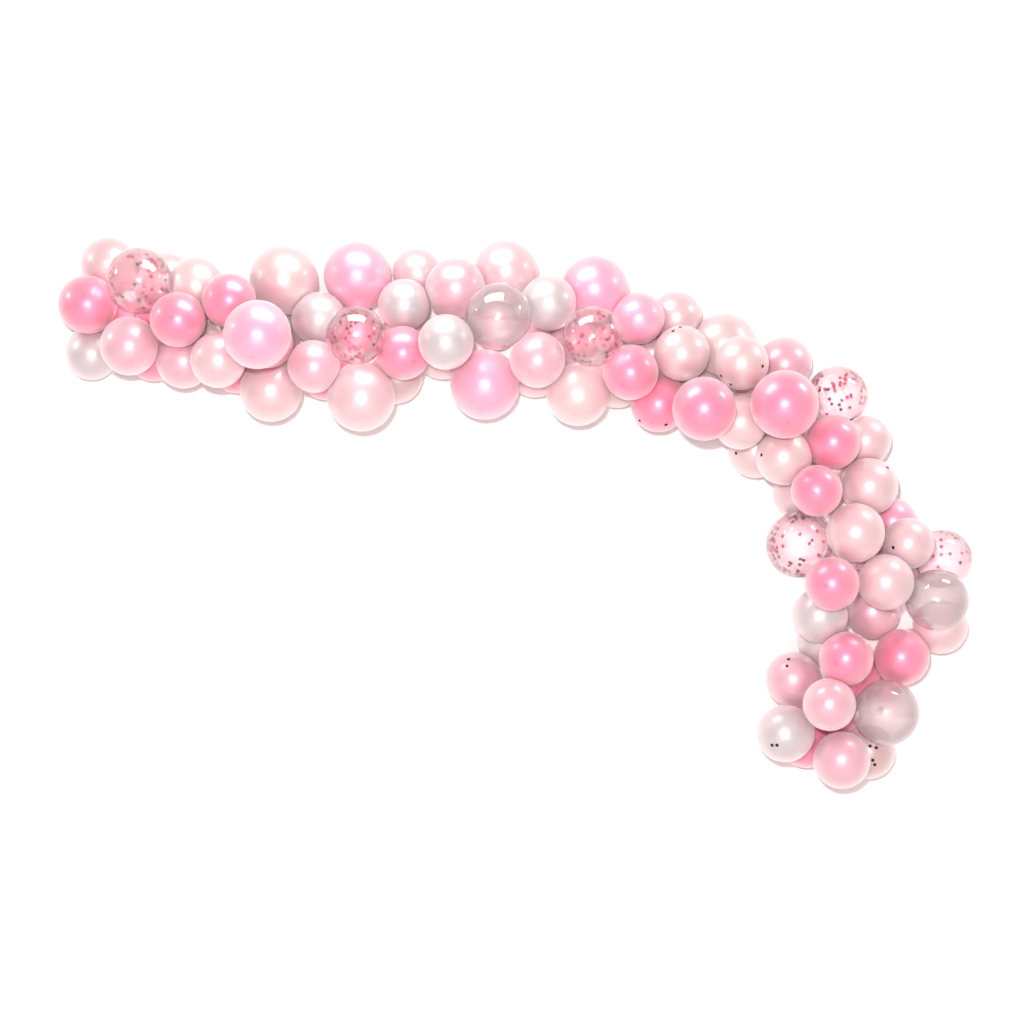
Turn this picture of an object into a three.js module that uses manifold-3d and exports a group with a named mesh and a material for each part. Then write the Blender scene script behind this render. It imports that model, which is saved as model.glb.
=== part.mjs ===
// Organic balloon garland for a wall: blown latex balloons tied along a flat plastic strip.
// Millimetres, +Z up. The wall is the plane y = 0 and the balloons stand out from it, towards -Y.
// The origin is on the strip's flat back, at the middle hanging point.
import * as THREE from 'three';
import Module from 'manifold-3d';
import { mergeVertices } from 'three/addons/utils/BufferGeometryUtils.js';

const wasm = await Module();
wasm.setup();

const centimetre = 10;
const gap = 0.3; // left between pieces that press on each other
const stripWidth = 17;
const stripThickness = 1;
const stripSteps = 36;
const wallGap = stripThickness + gap;
const squeeze = 0.94; // two pressed balloons stand this share of their radii apart
const neckLength = 28; // from the drawn-out ball to the end of the knot
const neckRadius = 5;
const knotRadius = 8;
const knotRoom = 11; // free room kept round a knot
const longestDraw = 0.55; // how far a ball draws out towards its neck at most, as a share of its radius
const balloonSides = 9;
const ringAngles = [31, 62, 92, 132]; // rings of the ball, in degrees from its crown
const viewPoint = new THREE.Vector3(-317, -8000, -601); // where the layout is looked at from

const finishes = {
  hot_pink: { color: 0xfa92b2, roughness: 0.3, metalness: 0 },
  lilac_pink: { color: 0xfbadd0, roughness: 0.3, metalness: 0 },
  light_pink: { color: 0xf5b9c8, roughness: 0.3, metalness: 0 },
  pale_pink: { color: 0xf3cdd5, roughness: 0.3, metalness: 0 },
  peach: { color: 0xf2cfc9, roughness: 0.3, metalness: 0 },
  cream: { color: 0xeedbd0, roughness: 0.3, metalness: 0 },
  white: { color: 0xe9e2e0, roughness: 0.25, metalness: 0 },
  clear: { color: 0xe6d8da, roughness: 0.1, metalness: 0 },
  confetti: { color: 0xecd2d2, roughness: 0.1, metalness: 0 },
};
const stripPlastic = { color: 0xe8e8e8, roughness: 0.35, metalness: 0 };

// The strip's route along the wall, in centimetres from the origin: [x, z].
const stripRoute = [
  [-189, 12.5], [-155, 9], [-108, 4], [-65, 3.5], [-22, 2], [0, 0], [14.5, -2],
  [43, -14.5], [68.5, -34], [86.5, -59.5], [96.5, -88], [94.5, -117], [86, -144],
];

// The balloons as they look against the wall from the view point, in centimetres:
// [finish, x, z, diameter, duplet]. Two rows with the same duplet number are tied neck to neck.
// Each list is put up over the one before it. The core can't be seen from the front.
const core = [
  ['peach', -130.5, 13.5, 18.5, 5],
  ['hot_pink', -87, 4.5, 17, 8],
  ['light_pink', -37.5, 7.5, 17, 12],
  ['pale_pink', 37.5, -19.5, 20, 17],
  ['pale_pink', 73.5, -36, 17, 22],
  ['light_pink', 91.5, -76.5, 22, 25],
  ['hot_pink', 91.5, -119.5, 18.5, 24],
];
const onTheWall = [
  ['pale_pink', -177, 29.5, 19.5, 2],
  ['peach', -156, 24.5, 18.5, 2],
  ['peach', -145.5, 22, 20, 4],
  ['hot_pink', -160.5, -3, 19.5, 3],
  ['hot_pink', -130.5, -7, 20, 5],
  ['peach', -114, 24, 24.5, 7],
  ['lilac_pink', -87.5, 25.5, 24, 9],
  ['hot_pink', -98.5, -9.5, 20, 8],
  ['pale_pink', -66, 26.5, 17.5, 11],
  ['cream', -73.5, -11, 19.5, 10],
  ['pale_pink', -56.5, -2, 20, 10],
  ['pale_pink', -34, 27, 22.5, 13],
  ['light_pink', -23.5, -8.5, 20, 14],
  ['lilac_pink', -2, 20.5, 24, 16],
  ['cream', 6, -12.5, 19.5, 15],
  ['pale_pink', 27.5, 10.5, 18.5, 18],
  ['peach', 44.5, 0.5, 23, 19],
  ['light_pink', 66.5, -6.5, 19.5, 19],
  ['confetti', 85.5, -18, 22],
  ['peach', 56, -37.5, 20, 20],
  ['pale_pink', 71.5, -53, 18.5, 22],
  ['lilac_pink', 105.5, -63, 16.5, 28],
  ['confetti', 123.5, -76.5, 21],
  ['pale_pink', 122.5, -101, 19.5, 29],
  ['white', 80, -106, 18.5, 24],
  ['hot_pink', 74, -142.5, 18.5, 23],
  ['cream', 96.5, -146, 19.5, 23],
];
const lowerAndOuterEdge = [
  ['white', -183, -3, 18.5, 1],
  ['light_pink', -150, -5.5, 19.5, 3],
  ['pale_pink', -118.5, -16, 22.5, 6],
  ['pale_pink', -86, -18.5, 24.5],
  ['light_pink', -52, 21, 21.5, 11],
  ['lilac_pink', -41.5, -14, 25, 12],
  ['peach', -8, -17.5, 22.5, 15],
  ['hot_pink', 21, -21, 20, 17],
  ['pale_pink', 95.5, -34, 18.5, 27],
  ['confetti', 71.5, -71.5, 24],
  ['light_pink', 69.5, -120, 20],
];
const middle = [
  ['hot_pink', -120, 1.5, 19, 6],
  ['light_pink', 64.5, -24, 18.5, 20],
  ['hot_pink', -133.5, 16.5, 19.5, 4],
  ['hot_pink', -71, -2.5, 19.5],
  ['hot_pink', 11, -9.5, 20],
  ['peach', 50.5, -27.5, 19.5],
  ['peach', 66, -40, 20, 21],
  ['pale_pink', 97, -50.5, 20.5, 27],
  ['pale_pink', 111, -71, 18.5, 28],
  ['clear', 121.5, -91.5, 22.5],
  ['white', 79, -97, 20],
  ['hot_pink', 108.5, -112, 20, 29],
  ['light_pink', -169.5, 0, 21],
  ['hot_pink', -184.5, 15, 21, 1],
  ['pale_pink', -137.5, -5, 20],
  ['white', -18.5, 15.5, 20, 13],
  ['lilac_pink', 14, 10, 18.5, 16],
  ['peach', 29.5, -2.5, 20, 18],
  ['peach', 51, -6, 19.5],
  ['hot_pink', 78, -52, 18.5],
  ['hot_pink', 84, -34.5, 19.5, 21],
  ['clear', 103, -132, 24],
  ['white', 66.5, -139.5, 20.5],
  ['hot_pink', 83.5, -85.5, 19.5],
  ['light_pink', 87, -149, 20.5],
  ['light_pink', 99.5, -96, 19.5, 25],
  ['hot_pink', 88.5, -112.5, 19.5],
];
const front = [
  ['confetti', -166, 23.5, 24],
  ['hot_pink', -152, 9.5, 20],
  ['lilac_pink', -123.5, 4, 24.5],
  ['white', -104.5, 13.5, 20, 7],
  ['light_pink', -103.5, -7, 19],
  ['confetti', -88, 4, 21.5],
  ['white', -70.5, 15, 18.5, 9],
  ['white', -55.5, 1.5, 20],
  ['clear', -36.5, 11, 24],
  ['light_pink', -22.5, -5, 20, 14],
  ['confetti', -2.5, 3.5, 22],
  ['hot_pink', 37.5, -22.5, 23],
  ['hot_pink', 66.5, -21, 24.5],
  ['pale_pink', 92, -67, 21, 26],
  ['pale_pink', 103, -85, 20, 26],
  ['light_pink', 82.5, -129, 19],
];

// Presses one balloon back until it rests on the wall or on balloons that are already up.
// Standing forward, it moves in along its line of sight and is smaller by the same share.
function putUp([finish, x, z, diameter, duplet], placed) {
  const onWall = new THREE.Vector3(x * centimetre, 0, z * centimetre);
  const sightLine = viewPoint.clone().sub(onWall);
  const ball = { finish, duplet };
  let depth = 0;
  for (let round = 0; round < 12; round++) {
    const share = depth / -sightLine.y;
    ball.centre = onWall.clone().addScaledVector(sightLine, share);
    ball.radius = (1 - share) * diameter * centimetre / 2;
    depth = wallGap + squeeze * ball.radius;
    for (const other of placed) {
      const pressed = squeeze * (ball.radius + other.radius);
      const aside = Math.hypot(ball.centre.x - other.centre.x, ball.centre.z - other.centre.z);
      if (aside < pressed) depth = Math.max(depth, Math.sqrt(pressed ** 2 - aside ** 2) - other.centre.y);
    }
  }
  ball.centre.y = -depth;
  return ball;
}

// The flat faces that shut a balloon in: one against each other balloon, and one against the wall.
function facesOf(ball, balls) {
  const faces = [{ normal: new THREE.Vector3(0, 1, 0), offset: -ball.centre.y - wallGap }];
  for (const other of balls) {
    if (other === ball) continue;
    const normal = other.centre.clone().sub(ball.centre);
    const apart = normal.length();
    const contact = (apart ** 2 + ball.radius ** 2 - other.radius ** 2) / (2 * apart);
    faces.push({ normal: normal.divideScalar(apart), offset: contact - gap / 2, other });
  }
  return faces;
}

// How far a balloon may reach from its centre in one direction.
// The face against the balloon that it's tied to may be let through.
function reachOf(ball, direction, letThrough) {
  let reach = Infinity;
  for (const { normal, offset, other } of ball.faces) {
    const lean = normal.dot(direction);
    if (lean > 0 && !(other && other === letThrough)) reach = Math.min(reach, offset / lean);
  }
  return reach;
}

const stripCurve = new THREE.CatmullRomCurve3(
  stripRoute.map(([x, z]) => new THREE.Vector3(x * centimetre, 0, z * centimetre)),
);
const stripPoints = stripCurve.getPoints(4 * stripSteps);

function nearestOnStrip(point) {
  return stripPoints.reduce((best, next) => (
    next.distanceTo(point) < best.distanceTo(point) ? next : best
  ));
}

function evenDirections(count) {
  const turn = Math.PI * (3 - Math.sqrt(5));
  return Array.from({ length: count }, (_, i) => {
    const y = 1 - (2 * i + 1) / count;
    const across = Math.sqrt(1 - y * y);
    return new THREE.Vector3(across * Math.cos(i * turn), y, across * Math.sin(i * turn));
  });
}

// A single balloon's neck goes towards the strip, as nearly as the balloons round it leave room.
// It draws out as far as there is room for it.
function aimNeck(ball, directions) {
  const wanted = nearestOnStrip(ball.centre).clone().sub(ball.centre).normalize();
  const shortest = ball.radius + neckLength;
  const open = directions.filter((direction) => reachOf(ball, direction) > shortest + knotRoom);
  ball.axis = open.reduce((best, next) => (next.dot(wanted) > best.dot(wanted) ? next : best));
  const room = reachOf(ball, ball.axis) - knotRoom;
  ball.knotAt = Math.min(room, shortest + longestDraw * ball.radius);
  ball.ownKnot = true;
}

// A duplet's two necks meet in one knot, on the plane between its balloons and near the strip.
function tieDuplet(first, second) {
  const between = second.centre.clone().sub(first.centre);
  const apart = between.length();
  between.divideScalar(apart);
  const contact = (apart ** 2 + first.radius ** 2 - second.radius ** 2) / (2 * apart);
  const middlePoint = first.centre.clone().addScaledVector(between, contact);
  const side = new THREE.Vector3(0.3, 1, 0.1).cross(between).normalize();
  const up = between.clone().cross(side);
  let best = null;
  for (let neck = 25; neck <= 80; neck += 5) {
    const around = Math.sqrt((first.radius + neck) ** 2 - contact ** 2);
    for (let turn = 0; turn < 2 * Math.PI; turn += Math.PI / 18) {
      const knot = middlePoint.clone()
        .addScaledVector(side, around * Math.cos(turn))
        .addScaledVector(up, around * Math.sin(turn));
      const roomy = [first, second].every((ball) => ball.faces.every(({ normal, offset, other }) => (
        other === first || other === second
        || offset - normal.dot(knot.clone().sub(ball.centre)) > knotRoom
      )));
      const cost = nearestOnStrip(knot).distanceTo(knot) + neck;
      if (roomy && (!best || cost < best.cost)) best = { knot, cost };
    }
  }
  for (const [ball, mate] of [[first, second], [second, first]]) {
    ball.mate = mate;
    ball.axis = best.knot.clone().sub(ball.centre);
    ball.knotAt = ball.axis.length() + knotRadius / 2;
    ball.ownKnot = ball === first; // the second neck runs into the first one's knot
    ball.axis.normalize();
  }
  return best.knot;
}

// Merges the corners that faces share and drops the slivers at the poles.
function closed(geometry) {
  geometry.deleteAttribute('normal');
  geometry.deleteAttribute('uv');
  const merged = mergeVertices(geometry, 1e-3);
  const corners = merged.index.array;
  const kept = [];
  for (let i = 0; i < corners.length; i += 3) {
    const [a, b, c] = corners.slice(i, i + 3);
    if (a !== b && b !== c && c !== a) kept.push(a, b, c);
  }
  merged.setIndex(kept);
  return merged;
}

// One blown balloon round its own centre: a ball drawn out to its neck, then the knot.
// It is pressed flat where it meets its neighbours or the wall.
function blownShape(ball) {
  const profile = [new THREE.Vector2(0, -ball.radius)];
  const drawOut = Math.max(0, ball.knotAt - neckLength - ball.radius);
  for (const degrees of ringAngles) {
    const angle = THREE.MathUtils.degToRad(degrees);
    const drawn = Math.max(0, degrees - 90) / 90;
    const reach = ball.radius + drawOut * drawn ** 2;
    profile.push(new THREE.Vector2(reach * Math.sin(angle), -reach * Math.cos(angle)));
  }
  profile.push(new THREE.Vector2(neckRadius, ball.knotAt - 1.5 * knotRadius));
  if (ball.ownKnot) profile.push(new THREE.Vector2(knotRadius, ball.knotAt - 0.5 * knotRadius));
  profile.push(new THREE.Vector2(0, ball.knotAt));
  const geometry = closed(new THREE.LatheGeometry(profile, balloonSides));
  geometry.applyQuaternion(new THREE.Quaternion().setFromUnitVectors(THREE.Object3D.DEFAULT_UP, ball.axis));
  const corners = geometry.attributes.position;
  const corner = new THREE.Vector3();
  for (let i = 0; i < corners.count; i++) {
    corner.fromBufferAttribute(corners, i);
    const out = corner.length();
    const letThrough = out > 1.1 * ball.radius ? ball.mate : undefined;
    corner.setLength(Math.min(out, reachOf(ball, corner.clone().divideScalar(out), letThrough)));
    corners.setXYZ(i, corner.x, corner.y, corner.z);
  }
  return geometry;
}

function toSolid(geometry) {
  return new wasm.Manifold(new wasm.Mesh({
    numProp: 3,
    vertProperties: geometry.attributes.position.array,
    triVerts: new Uint32Array(geometry.index.array),
  }));
}

function toGeometry(solid) {
  const mesh = solid.getMesh();
  const geometry = new THREE.BufferGeometry();
  geometry.setAttribute('position', new THREE.BufferAttribute(mesh.vertProperties, 3));
  geometry.setIndex(new THREE.BufferAttribute(mesh.triVerts, 1));
  return geometry;
}

function balloonMaterial(finish) {
  return new THREE.MeshStandardMaterial(finishes[finish]);
}

function singleMesh(ball) {
  const mesh = new THREE.Mesh(blownShape(ball), balloonMaterial(ball.finish));
  mesh.position.copy(ball.centre);
  return mesh;
}

// Both balloons of a duplet, joined at their knot, as one solid round that place.
function dupletMesh(pair, knot) {
  const [first, second] = pair.map((ball) => (
    toSolid(blownShape(ball).translate(...ball.centre.clone().sub(knot).toArray()))
  ));
  const mesh = new THREE.Mesh(toGeometry(first.add(second)), balloonMaterial(pair[0].finish));
  mesh.position.copy(knot);
  return mesh;
}

function stripMesh() {
  const sides = [[], []];
  for (let i = 0; i <= stripSteps; i++) {
    const point = stripCurve.getPoint(i / stripSteps);
    const along = stripCurve.getTangent(i / stripSteps);
    for (const [side, sign] of [[0, 1], [1, -1]]) {
      sides[side].push(new THREE.Vector2(
        point.x - sign * along.z * stripWidth / 2,
        point.z + sign * along.x * stripWidth / 2,
      ));
    }
  }
  const outline = new THREE.Shape([...sides[0], ...sides[1].reverse()]);
  const geometry = new THREE.ExtrudeGeometry(outline, { depth: stripThickness, bevelEnabled: false });
  const mesh = new THREE.Mesh(geometry, new THREE.MeshStandardMaterial(stripPlastic));
  mesh.rotation.x = Math.PI / 2; // the outline's face turns to the wall and its thickness to the balloons
  mesh.name = 'strip';
  return mesh;
}

const balls = [];
for (const layer of [core, onTheWall, lowerAndOuterEdge, middle, front]) {
  for (const row of layer) balls.push(putUp(row, balls));
}
for (const ball of balls) ball.faces = facesOf(ball, balls);
balls.sort((a, b) => a.centre.x - b.centre.x);

const group = new THREE.Group();
group.add(stripMesh());

const counts = {};
function addNamed(mesh, kind) {
  counts[kind] = (counts[kind] ?? 0) + 1;
  mesh.name = `${kind}_${counts[kind]}`;
  group.add(mesh);
}

const directions = evenDirections(600);
for (const ball of balls) {
  const pair = balls.filter(({ duplet }) => duplet && duplet === ball.duplet);
  if (pair.length === 0) {
    aimNeck(ball, directions);
    addNamed(singleMesh(ball), `${ball.finish}_balloon`);
  } else if (pair[0] === ball) {
    const named = [...new Set(pair.map(({ finish }) => finish))].join('_and_');
    addNamed(dupletMesh(pair, tieDuplet(...pair)), `${named}_duplet`);
  }
}

export default group;
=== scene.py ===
import math

import bmesh
import bpy
import numpy as np
from mathutils import Matrix, Vector


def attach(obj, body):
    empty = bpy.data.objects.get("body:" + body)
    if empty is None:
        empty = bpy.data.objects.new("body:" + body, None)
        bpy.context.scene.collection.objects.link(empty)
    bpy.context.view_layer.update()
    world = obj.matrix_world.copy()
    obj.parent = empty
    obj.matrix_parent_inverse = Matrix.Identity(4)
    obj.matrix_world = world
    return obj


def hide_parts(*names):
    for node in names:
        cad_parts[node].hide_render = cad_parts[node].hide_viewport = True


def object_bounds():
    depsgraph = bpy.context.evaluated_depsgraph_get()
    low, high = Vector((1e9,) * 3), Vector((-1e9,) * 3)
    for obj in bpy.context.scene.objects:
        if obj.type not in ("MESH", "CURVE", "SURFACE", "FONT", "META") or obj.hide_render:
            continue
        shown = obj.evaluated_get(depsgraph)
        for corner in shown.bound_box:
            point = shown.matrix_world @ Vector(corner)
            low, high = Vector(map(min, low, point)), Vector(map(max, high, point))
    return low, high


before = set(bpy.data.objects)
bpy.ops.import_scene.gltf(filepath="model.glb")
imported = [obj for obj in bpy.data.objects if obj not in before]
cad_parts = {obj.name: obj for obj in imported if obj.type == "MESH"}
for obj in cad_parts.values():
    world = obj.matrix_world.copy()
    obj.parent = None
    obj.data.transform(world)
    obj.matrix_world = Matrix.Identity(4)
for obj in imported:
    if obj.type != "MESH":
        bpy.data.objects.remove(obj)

low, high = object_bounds()
middle = (low + high) / 2
wallPlane = high.y  # the strip's flat back lies on the wall
millimetre = 0.001
scene = bpy.context.scene


def addObject(name, data):
    piece = bpy.data.objects.new(name, data)
    scene.collection.objects.link(piece)
    return piece


def addMesh(bm, name, material):
    mesh = bpy.data.meshes.new(name)
    bm.to_mesh(mesh)
    bm.free()
    mesh.materials.append(material)
    return addObject(name, mesh)


def newMaterial(name):
    material = bpy.data.materials.new(name)
    material.use_nodes = True
    return material, material.node_tree, material.node_tree.nodes["Principled BSDF"]


# An empty node group, what its own nodes are given, and what it puts out.
def makeGroup(name, taken, given):
    group = bpy.data.node_groups.new(name, "ShaderNodeTree")
    for way, sockets in (("INPUT", taken), ("OUTPUT", given)):
        for socket, kind in sockets.items():
            group.interface.new_socket(socket, in_out=way, socket_type=f"NodeSocket{kind}")
    start = group.nodes.new("NodeGroupInput")
    end = group.nodes.new("NodeGroupOutput")
    return group, start.outputs, end.inputs


def placeGroup(tree, group, values):
    placed = tree.nodes.new("ShaderNodeGroup")
    placed.node_tree = group
    for socket, value in values.items():
        placed.inputs[socket].default_value = value
    return placed.outputs


def addNoise(tree, scale, detail):
    place = tree.nodes.new("ShaderNodeTexCoord")
    noise = tree.nodes.new("ShaderNodeTexNoise")
    noise.inputs["Scale"].default_value = scale
    noise.inputs["Detail"].default_value = detail
    tree.links.new(place.outputs["Object"], noise.inputs["Vector"])
    return noise.outputs["Fac"]


# Gives a socket either another socket's value or a plain one.
def feed(tree, socket, value):
    if isinstance(value, bpy.types.NodeSocket):
        tree.links.new(value, socket)
    else:
        socket.default_value = value


def addMath(tree, operation, *values, clamped=False):
    node = tree.nodes.new("ShaderNodeMath")
    node.operation = operation
    node.use_clamp = clamped
    for value, socket in zip(values, node.inputs):
        feed(tree, socket, value)
    return node.outputs[0]


def addMapRange(tree, value, **ends):
    node = tree.nodes.new("ShaderNodeMapRange")
    tree.links.new(value, node.inputs["Value"])
    for name, (lowEnd, highEnd) in ends.items():
        node.inputs[f"{name} Min"].default_value = lowEnd
        node.inputs[f"{name} Max"].default_value = highEnd
    return node.outputs[0]


def addColourMix(tree, share, first, second):
    mix = tree.nodes.new("ShaderNodeMix")
    mix.data_type = "RGBA"
    feed(tree, mix.inputs["Factor"], share)
    feed(tree, mix.inputs["A"], first)
    feed(tree, mix.inputs["B"], second)
    return mix.outputs["Result"]


def addBump(tree, shader, height, strength):
    bump = tree.nodes.new("ShaderNodeBump")
    bump.inputs["Strength"].default_value = strength
    bump.inputs["Distance"].default_value = millimetre
    tree.links.new(height, bump.inputs["Height"])
    tree.links.new(bump.outputs["Normal"], shader.inputs["Normal"])


# Camera, lights and room.

studio = {
    "cameraFromWall": 8.0,
    "viewAcross": 3.686,  # width of wall that the picture takes in
    "cameraAside": -0.021,  # from the garland's middle
    "cameraUp": -0.009,
    "flashAbove": 0.2,  # the camera
    "flashPower": 60,
    "flashSize": 0.5,
    "sparkPower": 420,  # only seen as the shine at each balloon's middle
    "keyPower": 400,  # casts the crisp shadow under the balloons, and isn't seen in them
    "keySize": 0.25,
    "keyPlace": (-0.62, -8.0, 0.02),
    "ceilingLamps": [  # place, width, depth, power, for the shine only
        ((-0.70, -0.85, 1.10), 1.25, 0.60, 22.0),
        ((1.95, -0.60, 0.97), 0.80, 0.35, 12.0),
        ((-3.35, -0.60, 0.85), 0.60, 0.40, 11.0),
    ],
    "lampAim": (0.0, 0.45, -1.0),
    "skyHeights": (-0.5, 0.6),  # -1 is straight down and 1 straight up
    "skyStrengths": (0.46, 0.86),
    "skyColour": (1.0, 0.86, 0.84),
    "floorPaint": (0.86, 0.85, 0.84),
    "wallPaint": (0.88, 0.86, 0.855),
    "paintRoughness": 0.9,
    "paintSpecular": 0.1,
    "floorHeight": -2.5,
    "floorSize": 16.0,
    "wallWide": 7.0,
    "wallTall": 4.6,
}


def makeCamera():
    data = bpy.data.cameras.new("camera")
    data.lens = data.sensor_width * studio["cameraFromWall"] / studio["viewAcross"]
    camera = addObject("camera", data)
    camera.location = (
        middle.x + studio["cameraAside"],
        wallPlane - studio["cameraFromWall"],
        middle.z + studio["cameraUp"],
    )
    camera.rotation_euler = (math.radians(90), 0, 0)
    scene.camera = camera
    return camera


def makeAreaLight(name, place, aim, power, wide, deep=None):
    data = bpy.data.lights.new(name, "AREA")
    data.energy = power
    data.size = wide
    if deep is None:
        data.shape = "DISK"
    else:
        data.shape = "RECTANGLE"
        data.size_y = deep
    light = addObject(name, data)
    light.location = place
    light.rotation_euler = Vector(aim).to_track_quat("-Z", "Y").to_euler()
    return light


def makeLights(camera):
    flashPlace = camera.location + Vector((0, 0, studio["flashAbove"]))
    aim = middle - flashPlace
    flash = makeAreaLight("flash", flashPlace, aim, studio["flashPower"], studio["flashSize"])
    flash.visible_glossy = False
    spark = makeAreaLight("spark", flashPlace, aim, studio["sparkPower"], studio["flashSize"])
    spark.visible_diffuse = False
    keyPlace = Vector(studio["keyPlace"])
    key = makeAreaLight("key", keyPlace, middle - keyPlace, studio["keyPower"], studio["keySize"])
    key.visible_glossy = False
    for number, (place, wide, deep, power) in enumerate(studio["ceilingLamps"]):
        lamp = makeAreaLight(f"ceilingLamp{number}", place, studio["lampAim"], power, wide, deep)
        lamp.visible_diffuse = False


def makeSky():
    world = bpy.data.worlds.new("sky")
    scene.world = world
    world.use_nodes = True
    tree = world.node_tree
    way = tree.nodes.new("ShaderNodeTexCoord")
    split = tree.nodes.new("ShaderNodeSeparateXYZ")
    tree.links.new(way.outputs["Generated"], split.inputs[0])
    ends = {"From": studio["skyHeights"], "To": studio["skyStrengths"]}
    strength = addMapRange(tree, split.outputs["Z"], **ends)
    strength.node.interpolation_type = "SMOOTHSTEP"
    background = tree.nodes["Background"]
    background.inputs["Color"].default_value = (*studio["skyColour"], 1)
    tree.links.new(strength, background.inputs["Strength"])


def stageMaterial(name, seenFromBehind):
    material, tree, shader = newMaterial(name)
    shader.inputs["Base Color"].default_value = (*studio[name], 1)
    shader.inputs["Roughness"].default_value = studio["paintRoughness"]
    shader.inputs["Specular IOR Level"].default_value = studio["paintSpecular"]
    if not seenFromBehind:  # nor does it shade the backs of the balloons
        side = tree.nodes.new("ShaderNodeNewGeometry")
        path = tree.nodes.new("ShaderNodeLightPath")
        through = tree.nodes.new("ShaderNodeBsdfTransparent")
        mix = tree.nodes.new("ShaderNodeMixShader")
        share = side.outputs["Backfacing"]
        for ray in ("Is Diffuse Ray", "Is Shadow Ray"):
            share = addMath(tree, "MAXIMUM", share, path.outputs[ray])
        for socket, value in zip(mix.inputs, (share, shader.outputs[0], through.outputs[0])):
            tree.links.new(value, socket)
        tree.links.new(mix.outputs[0], tree.nodes["Material Output"].inputs["Surface"])
    return material


def makeStagePlane(name, wide, tall, turn, place, material):
    bm = bmesh.new()
    bmesh.ops.create_grid(bm, x_segments=1, y_segments=1, size=0.5)
    bmesh.ops.scale(bm, verts=bm.verts, vec=(wide, tall, 1))
    bmesh.ops.rotate(bm, verts=bm.verts, cent=(0, 0, 0), matrix=Matrix.Rotation(turn, 3, "X"))
    bmesh.ops.translate(bm, verts=bm.verts, vec=place)
    addMesh(bm, name, material)


def makeRoom():
    size, wide, tall = studio["floorSize"], studio["wallWide"], studio["wallTall"]
    floorMiddle = (middle.x, 0, studio["floorHeight"])
    wallMiddle = (middle.x, wallPlane + millimetre, studio["floorHeight"] + tall / 2)
    upright = math.radians(90)
    makeStagePlane("floor", size, size, 0, floorMiddle, stageMaterial("floorPaint", True))
    makeStagePlane("wall", wide, tall, upright, wallMiddle, stageMaterial("wallPaint", False))


scene.view_settings.view_transform = "Standard"
makeLights(makeCamera())
makeSky()
makeRoom()
print("studio is set up")

# Where the frame's balloons are, found from the corners of its nodes.

fitting = {
    "seed": 7,
    "draws": 5000,
    "leastVolume": 1e-6,  # four corners that lie flatter than this make no ball
    "tolerance": 0.12 * millimetre,
    "smallest": 60 * millimetre,
    "largest": 150 * millimetre,
    "awayFromBalls": 9 * millimetre,  # corners this far out belong to necks and knots
    "touching": 0.01 * millimetre,
    "gap": 0.3 * millimetre,  # between two balloons' pressed faces
    "wallGap": 1.3 * millimetre,
}
chance = np.random.default_rng(fitting["seed"])


def cornersOf(node):
    found = [vertex.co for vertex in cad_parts[node].data.vertices]
    return np.unique(np.array(found, float).round(6), axis=0)


# The ball that most of the corners lie on, from many draws of four of them.
def bestBall(corners):
    draws = corners[chance.integers(len(corners), size=(fitting["draws"], 4))]
    rows = 2 * (draws[:, 1:] - draws[:, :1])
    square = (draws ** 2).sum(axis=2)
    solvable = np.abs(np.linalg.det(rows)) > fitting["leastVolume"]
    rows, draws = rows[solvable], draws[solvable]
    right = (square[solvable, 1:] - square[solvable, :1])[..., None]
    centres = np.linalg.solve(rows, right)[..., 0]
    radii = np.linalg.norm(draws[:, 0] - centres, axis=1)
    sized = (radii > fitting["smallest"]) & (radii < fitting["largest"])
    centres, radii = centres[sized], radii[sized]
    off = np.abs(np.linalg.norm(corners[None] - centres[:, None], axis=2) - radii[:, None])
    best = (off < fitting["tolerance"]).sum(axis=1).argmax()
    onIt = off[best] < fitting["tolerance"]
    return centres[best], radii[best], onIt


def findBalloons(node):
    corners = cornersOf(node)
    isDuplet = "_duplet_" in node
    left = corners
    balls = []
    for _ in range(2 if isDuplet else 1):
        centre, radius, onIt = bestBall(left)
        balls.append({"node": node, "centre": centre, "radius": radius})
        left = left[~onIt]
    outside = [np.linalg.norm(corners - ball["centre"], axis=1) - ball["radius"] for ball in balls]
    away = np.min(outside, axis=0)
    knot = corners[away.argmax()]
    if isDuplet:
        knot = corners[away > fitting["awayFromBalls"]].mean(axis=0)
    balls.sort(key=lambda ball: ball["centre"][0])
    kinds = node.rsplit("_duplet_" if isDuplet else "_balloon_", 1)[0].split("_and_")
    for ball, kind, side in zip(balls, kinds * 2, ("left", "right")):
        toKnot = knot - ball["centre"]
        ball["knotAt"] = np.linalg.norm(toKnot)
        ball["axis"] = toKnot / ball["knotAt"]
        ball["kind"] = kind
        ball["name"] = f"{node}_{side}_latex" if isDuplet else f"{node}_latex"
    return balls


balloons = []
for node in sorted(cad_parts):
    if node != "strip":
        balloons += findBalloons(node)
print(f"found {len(balloons)} balloons in the frame")

# Small balloons that close the gaps against the wall.

fillers = {
    "squeeze": 0.94,  # how near two balloons sit, as a share of both their radii
    "smallest": 42 * millimetre,
    "largest": 92 * millimetre,
    "most": 20,
    "looks": 12,  # points on its outline that are looked at, and all but one have to be hidden
    "depths": (44, 152, 9),  # from the strip, in millimetres
    "aside": 90 * millimetre,
    "step": 20 * millimetre,
    "knotRoom": 13 * millimetre,
    "neckLength": 28 * millimetre,
    "kinds": ("hot_pink", "light_pink", "pale_pink", "peach"),
    "otherKind": "light_pink",
}


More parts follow.
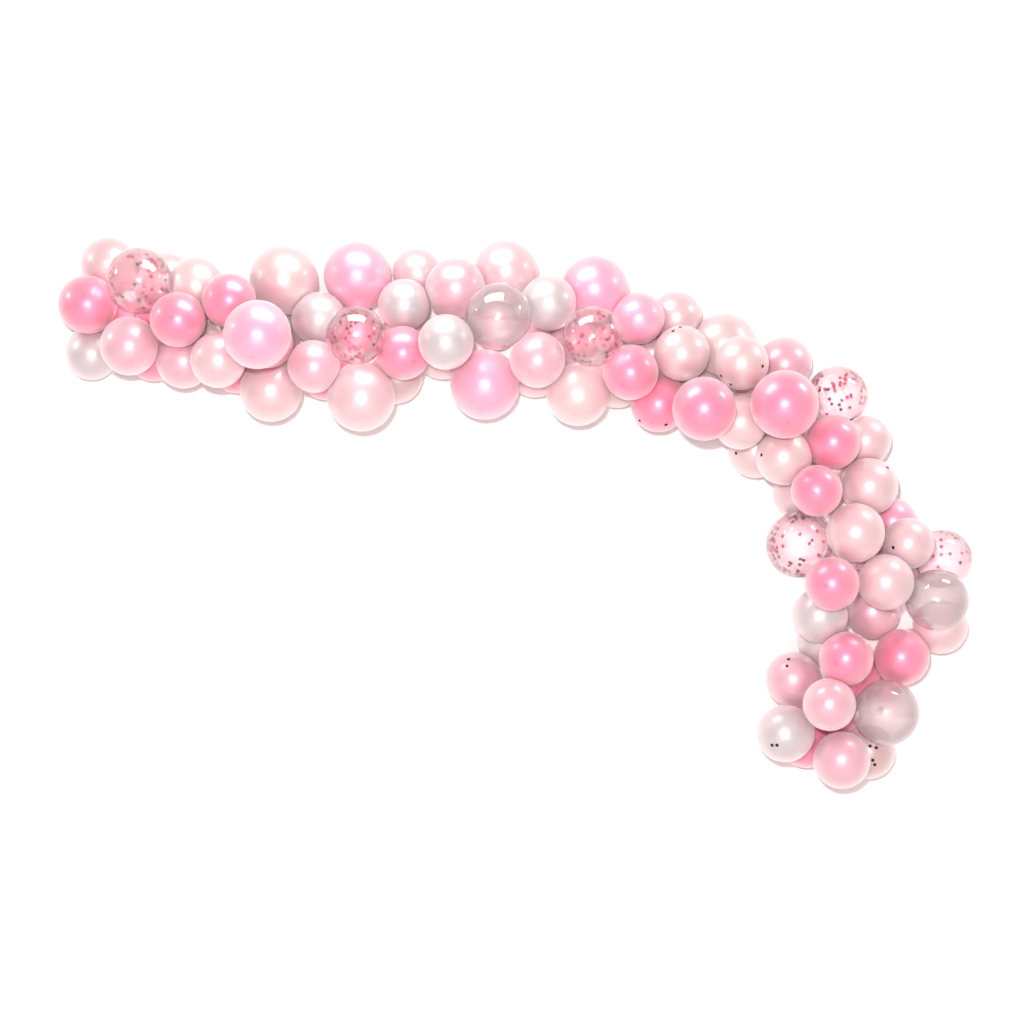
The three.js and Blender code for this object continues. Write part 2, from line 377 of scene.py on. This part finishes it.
# Middle points of the strip, from its left end, from the CAD strip's back edge pairs.
def stripStations():
    corners = cornersOf("strip")
    back = corners[np.abs(corners[:, 1] - wallPlane) < fitting["touching"]]
    apart = np.linalg.norm(back[:, None] - back[None], axis=2)
    np.fill_diagonal(apart, np.inf)
    mates = apart.argmin(axis=1)
    middles = np.unique(((back + back[mates]) / 2).round(5), axis=0)
    ordered = [middles[:, 0].argmin()]
    while len(ordered) < len(middles):
        away = np.linalg.norm(middles - middles[ordered[-1]], axis=1)
        away[ordered] = np.inf
        ordered.append(away.argmin())
    return middles[ordered], apart.min()


# Points and headings every so far along the strip's smooth middle line.
def alongStrip(step, pointsBetween=24):
    ends = np.vstack([2 * stations[0] - stations[1], stations, 2 * stations[-1] - stations[-2]])
    line = []
    for a, b, c, d in zip(ends, ends[1:], ends[2:], ends[3:]):
        for t in np.linspace(0, 1, pointsBetween, endpoint=False):
            line.append(0.5 * (2 * b + (c - a) * t + (2 * a - 5 * b + 4 * c - d) * t ** 2
                               + (3 * b - 3 * c + d - a) * t ** 3))
    line = np.array(line + [stations[-1]])
    run = np.concatenate([[0], np.cumsum(np.linalg.norm(np.diff(line, axis=0), axis=1))])
    marks = np.arange(0, run[-1], step)
    points = np.column_stack([np.interp(marks, run, line[:, axis]) for axis in range(3)])
    headings = np.gradient(points, axis=0)
    return points, headings / np.linalg.norm(headings, axis=1)[:, None]


# The largest ball that fits at each place beside these balloons.
def roomBeside(places, others):
    room = np.full(len(places), fillers["largest"])
    for ball in others:
        away = np.linalg.norm(places - ball["centre"], axis=1)
        room = np.minimum(room, away / fillers["squeeze"] - ball["radius"])
        for share in (0.0, 0.5, 1.0):
            reach = ball["knotAt"] - share * fillers["neckLength"]
            neck = ball["centre"] + ball["axis"] * reach
            room = np.minimum(room, np.linalg.norm(places - neck, axis=1) - fillers["knotRoom"])
    return room


# Whether the balloons already there are all round it when it is looked at from the front.
def isShutIn(place, radius):
    inside = 0
    for turn in np.linspace(0, 2 * math.pi, fillers["looks"], endpoint=False):
        spot = place + radius * np.array([math.cos(turn), 0, math.sin(turn)])
        aways = [(spot - ball["centre"])[[0, 2]] for ball in balloons]
        inside += any(math.hypot(*away) < ball["radius"] for away, ball in zip(aways, balloons))
    return inside >= fillers["looks"] - 1


# Towards the strip, but no nearer to the wall than leaves room for the knot.
def wayToStrip(place, points, knotAt):
    nearest = points[np.linalg.norm(points - place, axis=1).argmin()]
    way = nearest - place + np.array([millimetre, 0, 0])  # never straight at the wall
    wallRoom = wallPlane - fillers["knotRoom"] - place[1]
    inward = min(way[1] / np.linalg.norm(way), wallRoom / knotAt)
    way[1] = 0
    way *= math.sqrt(1 - inward ** 2) / np.linalg.norm(way)
    way[1] = inward
    return way


# Fills the largest gaps first, with balloons of the nearest balloon's colour that rest on the wall.
def fillGaps():
    points, headings = alongStrip(fillers["step"])
    across = np.column_stack([-headings[:, 2], headings[:, 1], headings[:, 0]])
    asides = np.arange(-fillers["aside"], fillers["aside"] + 1e-6, fillers["step"] / 2)
    depths = np.arange(*fillers["depths"]) * millimetre
    places = (points[:, None, None] + across[:, None, None] * asides[None, :, None, None]
              - np.array([0, 1, 0]) * depths[None, None, :, None]).reshape(-1, 3)
    wallRoom = (wallPlane - fitting["wallGap"] - places[:, 1]) / fillers["squeeze"]
    room = np.minimum(wallRoom, roomBeside(places, balloons))
    number = 0
    while number < fillers["most"] and room.max() > fillers["smallest"]:
        best = room.argmax()
        place = places[best]
        if not isShutIn(place, room[best]):
            room[np.linalg.norm(places - place, axis=1) < fillers["step"]] = 0
            continue
        number += 1
        near = min(balloons, key=lambda ball: np.linalg.norm(ball["centre"] - place))
        knotAt = room[best] + fillers["neckLength"] / 2
        balloons.append({
            "node": None,
            "name": f"filler_{number}_latex",
            "kind": near["kind"] if near["kind"] in fillers["kinds"] else fillers["otherKind"],
            "centre": place,
            "radius": room[best],
            "axis": wayToStrip(place, points, knotAt),
            "knotAt": knotAt,
        })
        room = np.minimum(room, roomBeside(places, balloons[-1:]))


stations, stripWidth = stripStations()
fillGaps()
print(f"{len(balloons)} balloons with the fillers")


# Flat faces that shut a balloon in: one against the wall and one against each balloon near it.
def facesRound(ball):
    normals = [(0.0, 1.0, 0.0)]
    offsets = [wallPlane - fitting["wallGap"] - ball["centre"][1]]
    mates = [False]
    for other in balloons:
        if other is ball:
            continue
        between = other["centre"] - ball["centre"]
        apart = np.linalg.norm(between)
        contact = (apart ** 2 + ball["radius"] ** 2 - other["radius"] ** 2) / (2 * apart)
        if contact < 2 * ball["radius"]:
            normals.append(between / apart)
            offsets.append(contact - fitting["gap"] / 2)
            mates.append(ball["node"] is not None and other["node"] == ball["node"])
    return np.array(normals), np.array(offsets), np.array(mates)


# Latex.


def linear(red, green, blue):
    def one(value):
        value /= 255
        return value / 12.92 if value <= 0.04045 else ((value + 0.055) / 1.055) ** 2.4
    return (one(red), one(green), one(blue), 1)


# Per kind: its colour, its deeper colour where the latex is thick, its pearl share, and rim, how
# strongly the painted sheen lightens its edge
latex = {
    "hot_pink": {"colour": (238, 131, 162), "deep": (228, 88, 130), "pearl": 0.3, "rim": 0.6},
    "lilac_pink": {"colour": (246, 164, 191), "deep": (238, 126, 168), "pearl": 0.3, "rim": 0.75},
    "light_pink": {"colour": (220, 168, 181), "deep": (212, 138, 160), "pearl": 0.3, "rim": 0.9},
    "pale_pink": {"colour": (217, 184, 188), "deep": (210, 158, 168), "pearl": 0.3, "rim": 1.0},
    "peach": {"colour": (215, 189, 189), "deep": (208, 166, 168), "pearl": 0.3, "rim": 1.0},
    "cream": {"colour": (196, 166, 164), "deep": (192, 158, 158), "pearl": 0.3, "rim": 1.0},
    "white": {"colour": (196, 188, 190), "deep": (184, 174, 178), "pearl": 0.35, "rim": 1.0},
    "clear": {"colour": (214, 206, 207), "deep": (208, 192, 195)},
    "confetti": {"colour": (232, 216, 219), "deep": (220, 192, 199)},
}
latexFinish = {
    "cloudScale": 11,
    "cloudRange": (0.3, 0.7),
    "cloudShare": 0.16,
    "bloomScale": 160,
    "bloomDullness": 0.12,
    "bump": 0.03,
    "roughness": 0.34,
    "specular": 0.85,
    "coat": 0.6,
    "coatRoughness": 0.15,
    "sheen": 0.35,
    "sheenRoughness": 0.5,
    "rim": (255, 236, 240),  # painted sheen: a lighter colour painted into the pearl latex's base colour where the skin is seen edge on, standing in for the reflection of the bright room
    "paintedSheenBlend": 0.34,
    "clearRoughness": 0.02,
    "clearCoat": 1,
    "clearCoatRoughness": 0.12,
    "clearThrough": {"clear": 0.88, "confetti": 0.96},
    "clearIor": 1.42,
}


# Blown latex: deeper in colour where it is least stretched, faintly cloudy, with a dry bloom.
def makeLatexGroup():
    taken = {"Colour": "Color", "Deep Colour": "Color", "Roughness": "Float"}
    given = {"Colour": "Color", "Roughness": "Float", "Height": "Float"}
    group, start, end = makeGroup("blownLatex", taken, given)
    cloud = addNoise(group, latexFinish["cloudScale"], detail=3)
    bloom = addNoise(group, latexFinish["bloomScale"], detail=4)
    ends = {"From": latexFinish["cloudRange"], "To": (0, latexFinish["cloudShare"])}
    shade = addMapRange(group, cloud, **ends)
    depth = group.nodes.new("ShaderNodeAttribute")
    depth.attribute_name = "unstretched"
    deepen = addMath(group, "ADD", shade, depth.outputs["Fac"], clamped=True)
    colour = addColourMix(group, deepen, start["Colour"], start["Deep Colour"])
    dull = addMath(group, "MULTIPLY_ADD", bloom, latexFinish["bloomDullness"], start["Roughness"])
    group.links.new(colour, end["Colour"])
    group.links.new(dull, end["Roughness"])
    group.links.new(bloom, end["Height"])
    return group


def placeLatexGroup(tree, shader, kind, roughness):
    placed = placeGroup(tree, latexGroup, {
        "Colour": linear(*latex[kind]["colour"]),
        "Deep Colour": linear(*latex[kind]["deep"]),
        "Roughness": roughness,
    })
    tree.links.new(placed["Roughness"], shader.inputs["Roughness"])
    return placed


def pearlLatex(kind):
    material, tree, shader = newMaterial(f"{kind}_latex")
    placed = placeLatexGroup(tree, shader, kind, latexFinish["roughness"])
    # Painted sheen: the base colour is lightened towards the edge, where the skin is seen edge on,
    # in place of the reflection of the bright room
    paintedSheenMask = tree.nodes.new("ShaderNodeLayerWeight")
    paintedSheenMask.inputs["Blend"].default_value = latexFinish["paintedSheenBlend"]
    share = addMath(tree, "MULTIPLY", paintedSheenMask.outputs["Facing"], latex[kind]["rim"])
    rim = addColourMix(tree, share, placed["Colour"], linear(*latexFinish["rim"]))
    tree.links.new(rim, shader.inputs["Base Color"])
    shader.inputs["Metallic"].default_value = latex[kind]["pearl"]
    shader.inputs["Specular IOR Level"].default_value = latexFinish["specular"]
    shader.inputs["Coat Weight"].default_value = latexFinish["coat"]
    shader.inputs["Coat Roughness"].default_value = latexFinish["coatRoughness"]
    shader.inputs["Sheen Weight"].default_value = latexFinish["sheen"]
    shader.inputs["Sheen Roughness"].default_value = latexFinish["sheenRoughness"]
    addBump(tree, shader, placed["Height"], latexFinish["bump"])
    return material


def seeThroughLatex(kind):
    material, tree, shader = newMaterial(f"{kind}_latex")
    placed = placeLatexGroup(tree, shader, kind, latexFinish["clearRoughness"])
    tree.links.new(placed["Colour"], shader.inputs["Base Color"])
    shader.inputs["Transmission Weight"].default_value = latexFinish["clearThrough"][kind]
    shader.inputs["IOR"].default_value = latexFinish["clearIor"]
    shader.inputs["Coat Weight"].default_value = latexFinish["clearCoat"]
    shader.inputs["Coat Roughness"].default_value = latexFinish["clearCoatRoughness"]
    return material


latexGroup = makeLatexGroup()
latexMaterials = {
    kind: seeThroughLatex(kind) if kind in latexFinish["clearThrough"] else pearlLatex(kind)
    for kind in latex
}
print("latex is mixed")

# Balloons.

balloonShape = {
    "sides": 64,
    "ringDegrees": 4.5,
    "ballEnds": 149,  # degrees from the crown, where the pear end begins
    "neckLength": 28 * millimetre,  # from the drawn-out ball to the tip of the tail
    "fullness": 0.1,  # of the pear end, beyond what its length alone gives
    "neckRadius": 3.6 * millimetre,
    "neckBack": 17 * millimetre,  # from the tip of the tail back to where the neck begins
    "handles": (0.42, 0.24),  # of the curve in to the neck, as shares of its run
    "neckRings": 10,
    "softness": 2.4 * millimetre,  # rounding of the edge of a pressed face
    "wall": 0.4 * millimetre,
    "crownSpot": 7 * millimetre,  # thick latex on the crown
    "crownDepth": 0.75,  # how much deeper in colour it is there
    "neckDepth": 0.9,
    "deepensFrom": 2.25,  # radians from the crown, where the colour deepens towards the neck
    "deepensOver": 0.8,
    "neckFrom": 1.04,  # radii out from the middle
    "tiedFrom": 1.1,  # radii out, where two balloons tied together meet
    "pleats": 11,
    "pleatDepth": 0.05,
    "pleatsWithin": 0.5,  # radii of the neck's line
    "seam": 0.001 * millimetre,
}
# The knot and the rolled lip behind it, as radius and distance back from the tip, in millimetres.
knotProfile = [
    (3.6, 13.5), (5.4, 12.6), (6.5, 11.0), (6.6, 9.4), (5.6, 8.0), (4.0, 7.2), (3.6, 6.2),
    (4.6, 4.4), (6.0, 2.6), (7.2, 1.5), (8.2, 1.2), (8.7, 0.6), (8.3, 0.0), (7.5, 0.3),
    (6.6, 1.6), (4.0, 3.2), (0.0, 3.8),
]


# From the crown round the ball, in to the neck, over the knot and into the open end of the tail.
def balloonProfile(radius, knotAt):
    shape = balloonShape
    profile = [(0.0, -radius)]
    drawOut = max(0.0, knotAt - shape["neckLength"] - radius) + shape["fullness"] * radius
    degrees = shape["ringDegrees"]
    while degrees <= shape["ballEnds"]:
        drawn = max(0.0, degrees - 90) / 90
        reach = radius + drawOut * drawn ** 2
        angle = math.radians(degrees)
        profile.append((reach * math.sin(angle), -reach * math.cos(angle)))
        degrees += shape["ringDegrees"]
    start, before = Vector(profile[-1]), Vector(profile[-2])
    end = Vector((shape["neckRadius"], knotAt - shape["neckBack"]))
    run = (end - start).length
    firstHandle = start + (start - before).normalized() * run * shape["handles"][0]
    lastHandle = end - Vector((0, run * shape["handles"][1]))
    for ring in range(1, shape["neckRings"] + 1):
        t = ring / shape["neckRings"]
        point = (start * (1 - t) ** 3 + firstHandle * 3 * t * (1 - t) ** 2
                 + lastHandle * 3 * t ** 2 * (1 - t) + end * t ** 3)
        profile.append(tuple(point))
    ballRings = len(profile)
    profile += [(across * millimetre, knotAt - back * millimetre) for across, back in knotProfile]
    return profile, ballRings


def spunSkin(profile, sides):
    bm = bmesh.new()
    corners = [bm.verts.new((across, 0, along)) for across, along in profile]
    edges = [bm.edges.new(pair) for pair in zip(corners, corners[1:])]
    bmesh.ops.spin(
        bm, geom=corners + edges, cent=(0, 0, 0), axis=(0, 0, 1),
        angle=2 * math.pi, steps=sides, use_merge=True,
    )
    bmesh.ops.remove_doubles(bm, verts=bm.verts, dist=balloonShape["seam"])
    bmesh.ops.recalc_face_normals(bm, faces=bm.faces)
    for face in bm.faces:
        face.smooth = True
    return bm


# 1 in the thick spot on the crown and towards the neck, 0 where the skin is stretched most.
def unstretchedShare(places, ball):
    shape = balloonShape
    fromCrown = np.arctan2(np.hypot(places[:, 0], places[:, 1]), -places[:, 2])
    spot = np.exp(-(fromCrown * ball["radius"] / shape["crownSpot"]) ** 4)
    neck = np.clip((fromCrown - shape["deepensFrom"]) / shape["deepensOver"], 0, 1) ** 1.5
    deepest = np.maximum(shape["crownDepth"] * spot, shape["neckDepth"] * neck)
    return np.where(places[:, 2] > shape["neckFrom"] * ball["radius"], 1.0, deepest)


def pleatNeck(places, ball):
    shape = balloonShape
    around = np.arctan2(places[:, 1], places[:, 0])
    across = np.hypot(places[:, 0], places[:, 1])
    reach = shape["pleatsWithin"] * ball["radius"]
    nearNeck = np.clip(1 - across / reach, 0, 1) ** 2 * (places[:, 2] > 0)
    wave = 1 + shape["pleatDepth"] * nearNeck * np.cos(shape["pleats"] * around)
    return places * np.column_stack([wave, wave, np.ones_like(wave)])


# Presses the skin in where another balloon or the wall is in its way, with a rounded edge.
def pressed(places, ball):
    normals, offsets, mates = facesRound(ball)
    soft = balloonShape["softness"]
    leastLean = 1e-3  # a face that leans away further than this isn't in the way
    out = np.linalg.norm(places, axis=1)
    lean = (places / out[:, None]) @ normals.T
    limits = np.where(lean > leastLean, offsets / np.maximum(lean, leastLean), np.inf)
    inNeck = out[:, None] > balloonShape["tiedFrom"] * ball["radius"]
    limits[:, mates] = np.where(inNeck, np.inf, limits[:, mates])
    reach = np.minimum(out, limits.min(axis=1))
    crowd = np.exp((reach - out) / soft) + np.exp((reach[:, None] - limits) / soft).sum(axis=1)
    return places * ((reach - soft * np.log(crowd)) / out)[:, None]


def makeBalloon(ball):
    profile, ballRings = balloonProfile(ball["radius"], ball["knotAt"])
    bm = spunSkin(profile, balloonShape["sides"])
    mesh = bpy.data.meshes.new(ball["name"])
    bm.to_mesh(mesh)
    bm.free()
    places = np.empty(len(mesh.vertices) * 3)
    mesh.vertices.foreach_get("co", places)
    places = places.reshape(-1, 3)
    depth = mesh.attributes.new("unstretched", "FLOAT", "POINT")
    depth.data.foreach_set("value", unstretchedShare(places, ball).astype(np.float32))
    isBall = places[:, 2] < profile[ballRings - 1][1] - balloonShape["seam"]
    places[isBall] = pleatNeck(places[isBall], ball)
    turn = np.array(Vector(ball["axis"]).to_track_quat("Z", "Y").to_matrix())
    places = places @ turn.T
    places[isBall] = pressed(places[isBall], ball)
    mesh.vertices.foreach_set("co", (places + ball["centre"]).astype(np.float32).ravel())
    mesh.materials.append(latexMaterials[ball["kind"]])
    piece = addObject(ball["name"], mesh)
    if ball["kind"] in latexFinish["clearThrough"]:
        wall = piece.modifiers.new("wall", "SOLIDIFY")
        wall.thickness = balloonShape["wall"]
        wall.offset = -1
        piece.visible_shadow = False
    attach(piece, "root")
    if ball["node"]:
        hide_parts(ball["node"])


slotOf = {kind: f"{kind}_latex" for kind in latex}
slotOf["white"] = "white_pearl_latex"
for ball in balloons:
    makeBalloon(ball)
print("balloons are blown")

# Foil confetti.

confetti = {
    "across": 12.5 * millimetre,
    "thick": 0.25 * millimetre,
    "sides": 12,
    "inside": 1.8 * millimetre,  # from the latex
    "layers": 5,  # so that dots at the same place don't run into each other
    "bunches": 12,
    "inBunch": (6, 13),
    "spread": 0.22,
    "stretch": 1.6,  # of a bunch along its line, in spreads
    "heartShare": (1.0, 0.5, 1.0),  # most bunches lie round the sides of the balloon
    "sink": 0.3,  # and low in it
    "alone": 34,
    "tilt": 0.2,  # radians
    "darkShare": 0.34,
}
foilFinish = {
    "patchScale": 70,
    "creaseScale": 420,
    "bump": 0.25,
    "metallic": 0.35,
    "roughness": 0.36,
}
foils = {
    "pink_foil": {"colour": (206, 34, 92), "shade": (146, 18, 62)},
    "dark_foil": {"colour": (74, 22, 42), "shade": (34, 8, 18)},
}


# Thin metal foil: shade that differs from dot to dot, and small creases.
def makeFoilGroup():
    taken = {"Colour": "Color", "Shade": "Color"}
    given = {"Colour": "Color", "Height": "Float"}
    group, start, end = makeGroup("creasedFoil", taken, given)
    patches = addNoise(group, foilFinish["patchScale"], detail=2)
    creases = addNoise(group, foilFinish["creaseScale"], detail=3)
    colour = addColourMix(group, patches, start["Colour"], start["Shade"])
    group.links.new(colour, end["Colour"])
    group.links.new(creases, end["Height"])
    return group


def foilMaterial(kind):
    material, tree, shader = newMaterial(kind)
    placed = placeGroup(tree, foilGroup, {
        "Colour": linear(*foils[kind]["colour"]),
        "Shade": linear(*foils[kind]["shade"]),
    })
    tree.links.new(placed["Colour"], shader.inputs["Base Color"])
    shader.inputs["Metallic"].default_value = foilFinish["metallic"]
    shader.inputs["Roughness"].default_value = foilFinish["roughness"]
    addBump(tree, shader, placed["Height"], foilFinish["bump"])
    return material


# One thin dot whose flat side faces along the way given, or leans away from it a little.
def addDot(bm, place, way, tilt):
    facing = Vector(way).to_track_quat("Z", "Y").to_matrix().to_4x4()
    lean = [chance.uniform(-tilt, tilt) for _ in range(2)]
    turn = Matrix.Rotation(lean[0], 4, "X") @ Matrix.Rotation(lean[1], 4, "Y")
    bmesh.ops.create_cone(
        bm, cap_ends=True, segments=confetti["sides"],
        radius1=confetti["across"] / 2, radius2=confetti["across"] / 2, depth=confetti["thick"],
        matrix=Matrix.Translation(place) @ facing @ turn,
    )


def makeDots(name, kind, dots, tilt):
    if not dots:
        return
    bm = bmesh.new()
    for place, way in dots:
        addDot(bm, place, way, tilt)
    piece = addMesh(bm, name, foilMaterials[kind])
    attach(piece, "root")


def anyWay():
    way = chance.normal(size=3)
    return way / np.linalg.norm(way)


# Static holds the dots against the inside of the latex, in bunches and on their own.
def waysOfDots():
    ways = [(anyWay(), chance.random() < confetti["darkShare"]) for _ in range(confetti["alone"])]
    for _ in range(confetti["bunches"]):
        heart = anyWay() * confetti["heartShare"]
        heart[2] -= confetti["sink"]
        isDark = chance.random() < confetti["darkShare"]
        stretch = anyWay() * confetti["spread"] * confetti["stretch"]
        for _ in range(chance.integers(*confetti["inBunch"])):
            along = stretch * chance.uniform(-1, 1)
            way = heart + along + chance.normal(size=3) * confetti["spread"] / 2
            ways.append((way / np.linalg.norm(way), isDark))
    return ways


def fillWithConfetti(ball):
    dots = {kind: [] for kind in foils}
    for count, (way, isDark) in enumerate(waysOfDots()):
        skin = pressed(way[None] * ball["radius"], ball)[0]
        inside = confetti["inside"] + (count % confetti["layers"]) * 2 * confetti["thick"]
        place = ball["centre"] + skin - way * inside
        dots["dark_foil" if isDark else "pink_foil"].append((place, way))
    for kind, found in dots.items():
        makeDots(f"{ball['node']}_{kind}_dots", kind, found, confetti["tilt"])


# Dots that cling to the outside: how far to the right of and above the balloon's middle, in radii.
strayDots = {
    "pale_pink_and_peach_duplet_2_right": [(-0.36, 0.75), (-0.10, 0.90)],
    "peach_balloon_2": [(0.69, -0.17), (-0.45, -0.82), (-0.80, -0.50)],
    "hot_pink_and_pale_pink_duplet_2_left": [(-0.70, -0.60), (0.23, -0.75)],
    "peach_and_light_pink_duplet_2_left": [(-0.77, -0.12)],
    "peach_and_hot_pink_duplet_3_left": [(-0.85, 0.07)],
    "pale_pink_duplet_3_right": [(0.54, 0.65)],
    "lilac_pink_and_pale_pink_duplet_1_right": [(-0.71, -0.15)],
    "light_pink_balloon_3": [(-0.24, 0.77), (-0.32, 0.54)],
    "white_balloon_2": [(-0.54, -0.32), (-0.38, -0.31)],
    "hot_pink_and_cream_duplet_1_right": [
        (-0.08, 0.31), (0.14, 0.25), (0.01, -0.20), (0.09, -0.37),
    ],
}


def clingDots(ball, name):
    dots = []
    for right, up in strayDots[name]:
        way = np.array([right, -math.sqrt(1 - right ** 2 - up ** 2), up])
        skin = pressed(way[None] * ball["radius"], ball)[0]
        dots.append((ball["centre"] + skin + way * confetti["thick"], way))
    makeDots(f"{name}_stray_dots", "dark_foil", dots, 0)


foilGroup = makeFoilGroup()
foilMaterials = {kind: foilMaterial(kind) for kind in foils}
for ball in balloons:
    if ball["kind"] == "confetti":
        fillWithConfetti(ball)
    plainName = ball["name"].removesuffix("_latex")
    if plainName in strayDots:
        clingDots(ball, plainName)
print("confetti is in")

# The strip.

strip = {
    "cell": 17 * millimetre,
    "bigHole": 10.5 * millimetre,
    "smallHole": 5 * millimetre,
    "holeSides": 16,
    "thickness": 1 * millimetre,
    "seam": 0.04 * millimetre,  # cells this near are joined
    "spacing": 4 * millimetre,  # of the points on its middle line
    "scuffScale": 90,
    "roughness": (0.22, 0.5),  # clean and scuffed
    "colour": (226, 228, 230),
    "scuffColour": (238, 238, 236),
}


# A flat run of square cells, each with a hole, big and small by turns. Along X, across Y.
def flatStrip(cells):
    bm = bmesh.new()
    half = stripWidth / 2
    for cell in range(cells):
        middleX = (cell + 0.5) * strip["cell"]
        hole = strip["smallHole"] if cell % 2 else strip["bigHole"]
        rim = bmesh.ops.create_circle(bm, segments=strip["holeSides"], radius=hole / 2)["verts"]
        border = bmesh.ops.create_circle(bm, segments=strip["holeSides"], radius=half)["verts"]
        for corner in border:  # from round to square
            most = max(abs(corner.co.x), abs(corner.co.y))
            corner.co *= half / most
            corner.co.x *= strip["cell"] / stripWidth
        edges = {edge for corner in rim + border for edge in corner.link_edges}
        bmesh.ops.bridge_loops(bm, edges=list(edges))
        bmesh.ops.translate(bm, verts=rim + border, vec=(middleX, 0, 0))
    bmesh.ops.remove_doubles(bm, verts=bm.verts, dist=strip["seam"])
    bmesh.ops.recalc_face_normals(bm, faces=bm.faces)
    return bm


def makeStrip():
    spacing = strip["spacing"]
    points, headings = alongStrip(spacing)
    length = spacing * (len(points) - 1)
    bm = flatStrip(int(length / strip["cell"]))
    marks = np.arange(len(points)) * spacing
    for corner in bm.verts:
        point = [np.interp(corner.co.x, marks, points[:, axis]) for axis in range(3)]
        heading = [np.interp(corner.co.x, marks, headings[:, axis]) for axis in range(3)]
        across = Vector((-heading[2], 0, heading[0])).normalized() * corner.co.y
        corner.co = Vector((point[0], wallPlane, point[2])) + across
    bmesh.ops.recalc_face_normals(bm, faces=bm.faces)
    if sum(face.normal.y * face.calc_area() for face in bm.faces) < 0:
        bmesh.ops.reverse_faces(bm, faces=bm.faces)
    bmesh.ops.solidify(bm, geom=list(bm.faces), thickness=strip["thickness"])
    back = max(corner.co.y for corner in bm.verts)
    bmesh.ops.translate(bm, verts=bm.verts, vec=(0, wallPlane - back, 0))
    bmesh.ops.recalc_face_normals(bm, faces=bm.faces)
    piece = addMesh(bm, "strip_with_holes", stripMaterial())
    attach(piece, "root")
    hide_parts("strip")


def stripMaterial():
    material, tree, shader = newMaterial("strip_plastic")
    scuffs = addNoise(tree, strip["scuffScale"], detail=5)
    dull = addMapRange(tree, scuffs, To=strip["roughness"])
    tint = addColourMix(tree, scuffs, linear(*strip["colour"]), linear(*strip["scuffColour"]))
    tree.links.new(dull, shader.inputs["Roughness"])
    tree.links.new(tint, shader.inputs["Base Color"])
    return material


makeStrip()
print("strip is laid")
